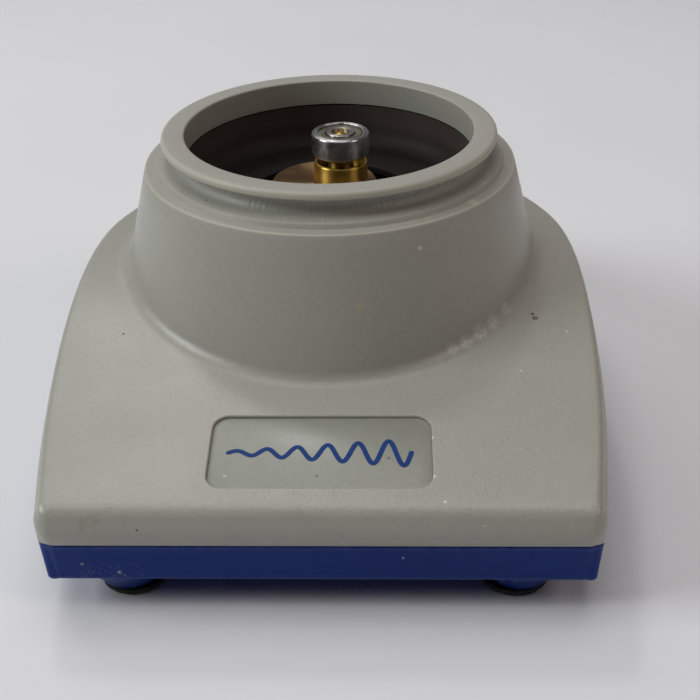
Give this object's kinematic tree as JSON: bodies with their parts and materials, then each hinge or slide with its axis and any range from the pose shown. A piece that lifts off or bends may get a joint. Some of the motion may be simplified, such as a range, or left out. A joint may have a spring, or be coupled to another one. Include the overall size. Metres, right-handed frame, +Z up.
{
  "type": "vortex mixer",
  "caption": "Touch-operated mini vortex mixer: sloped grey case with a raised ring round an eccentric spindle and bearing, blue base on rubber feet, sprung motor, switch and jack inside.",
  "frame": {"origin": "on the table, under the middle of the body", "axes": "+Z up, the sloped front faces -Y, +X to the right seen from the front"},
  "size_m": [0.1174, 0.1558, 0.07],
  "materials": {
    "grey_abs": "fine grain",
    "blue_abs": "satin",
    "black_plastic": "matt",
    "label": "satin",
    "black_rubber": "matt",
    "brass": "turned",
    "bearing_steel": "ground",
    "zinc_steel": "zinc plated",
    "magnet": "sintered ferrite",
    "copper": "enamelled winding",
    "black_steel": "black oxide",
    "red_wire": "satin",
    "black_wire": "satin"
  },
  "bodies": {
    "housing": {"top_casing": "grey_abs", "nameplate": "label", "base_pan": "blue_abs", "well_liner": "black_plastic", "touch_switch_body": "black_plastic", "switch_bracket": "zinc_steel", "power_jack_body": "black_plastic", "power_jack_pin": "brass", "power_jack_nut": "zinc_steel", "ballast_plate": "black_steel", "ballast_screw_left": "zinc_steel", "ballast_screw_right": "zinc_steel", "bracket_screw": "zinc_steel", "wire_jack_to_switch": "red_wire", "wire_switch_to_motor": "red_wire", "wire_motor_to_jack": "black_wire", "foot_pad_front_left": "black_rubber", "foot_pad_front_right": "black_rubber", "foot_pad_rear_left": "black_rubber", "foot_pad_rear_right": "black_rubber", "casing_screw_1": "zinc_steel", "casing_screw_2": "zinc_steel", "casing_screw_3": "zinc_steel", "casing_screw_4": "zinc_steel", "guide_post_1": "zinc_steel", "return_spring_1": "zinc_steel", "guide_screw_1": "zinc_steel", "guide_post_2": "zinc_steel", "return_spring_2": "zinc_steel", "guide_screw_2": "zinc_steel", "guide_post_3": "zinc_steel", "return_spring_3": "zinc_steel", "guide_screw_3": "zinc_steel"},
    "carriage": {"motor_carriage": "black_steel", "motor_can": "zinc_steel", "motor_bush": "brass", "motor_end_cap": "black_plastic", "motor_terminal_left": "copper", "motor_terminal_right": "copper", "motor_magnet_front": "magnet", "motor_magnet_back": "magnet", "motor_screw_left": "zinc_steel", "motor_screw_right": "zinc_steel"},
    "spindle": {"motor_shaft": "zinc_steel", "motor_armature": "copper", "eccentric_hub": "brass", "hub_set_screw": "black_steel", "bearing_inner_ring": "bearing_steel"},
    "bearing_shell": {"bearing_outer_ring": "bearing_steel", "bearing_shield_top": "bearing_steel", "bearing_shield_bottom": "bearing_steel", "bearing_snap_ring_top": "zinc_steel", "bearing_snap_ring_bottom": "zinc_steel"},
    "ball_cage": {"bearing_ball_cage": "bearing_steel"},
    "switch_plunger": {"touch_switch_plunger": "red_wire"}
  },
  "joints": [
    {"name": "platform_press", "type": "slide", "parent": "housing", "child": "carriage", "axis": [0, 0, -1], "range_m": [0, 0.0012], "stiffness_N_per_m": 3000, "springref_m": -0.003, "deforming": ["return_spring_1", "return_spring_2", "return_spring_3"]},
    {"name": "spindle_spin", "type": "hinge", "parent": "carriage", "child": "spindle", "pos_m": [0, 0.00595, 0.055], "axis": [0, 0, 1], "continuous": true},
    {"name": "bearing_spin", "type": "hinge", "parent": "spindle", "child": "bearing_shell", "pos_m": [0.0025, 0.00595, 0.0663], "axis": [0, 0, 1], "continuous": true},
    {"name": "ball_cage_spin", "type": "hinge", "parent": "spindle", "child": "ball_cage", "pos_m": [0.0025, 0.00595, 0.0663], "axis": [0, 0, 1], "continuous": true},
    {"name": "switch_press", "type": "slide", "parent": "housing", "child": "switch_plunger", "axis": [0, 0, -1], "range_m": [0, 0.0012]}
  ],
  "couplings": [
    {"joint": "ball_cage_spin", "follows": "bearing_spin", "ratio": 0.613},
    {"joint": "switch_press", "follows": "platform_press", "ratio": 1}
  ]
}
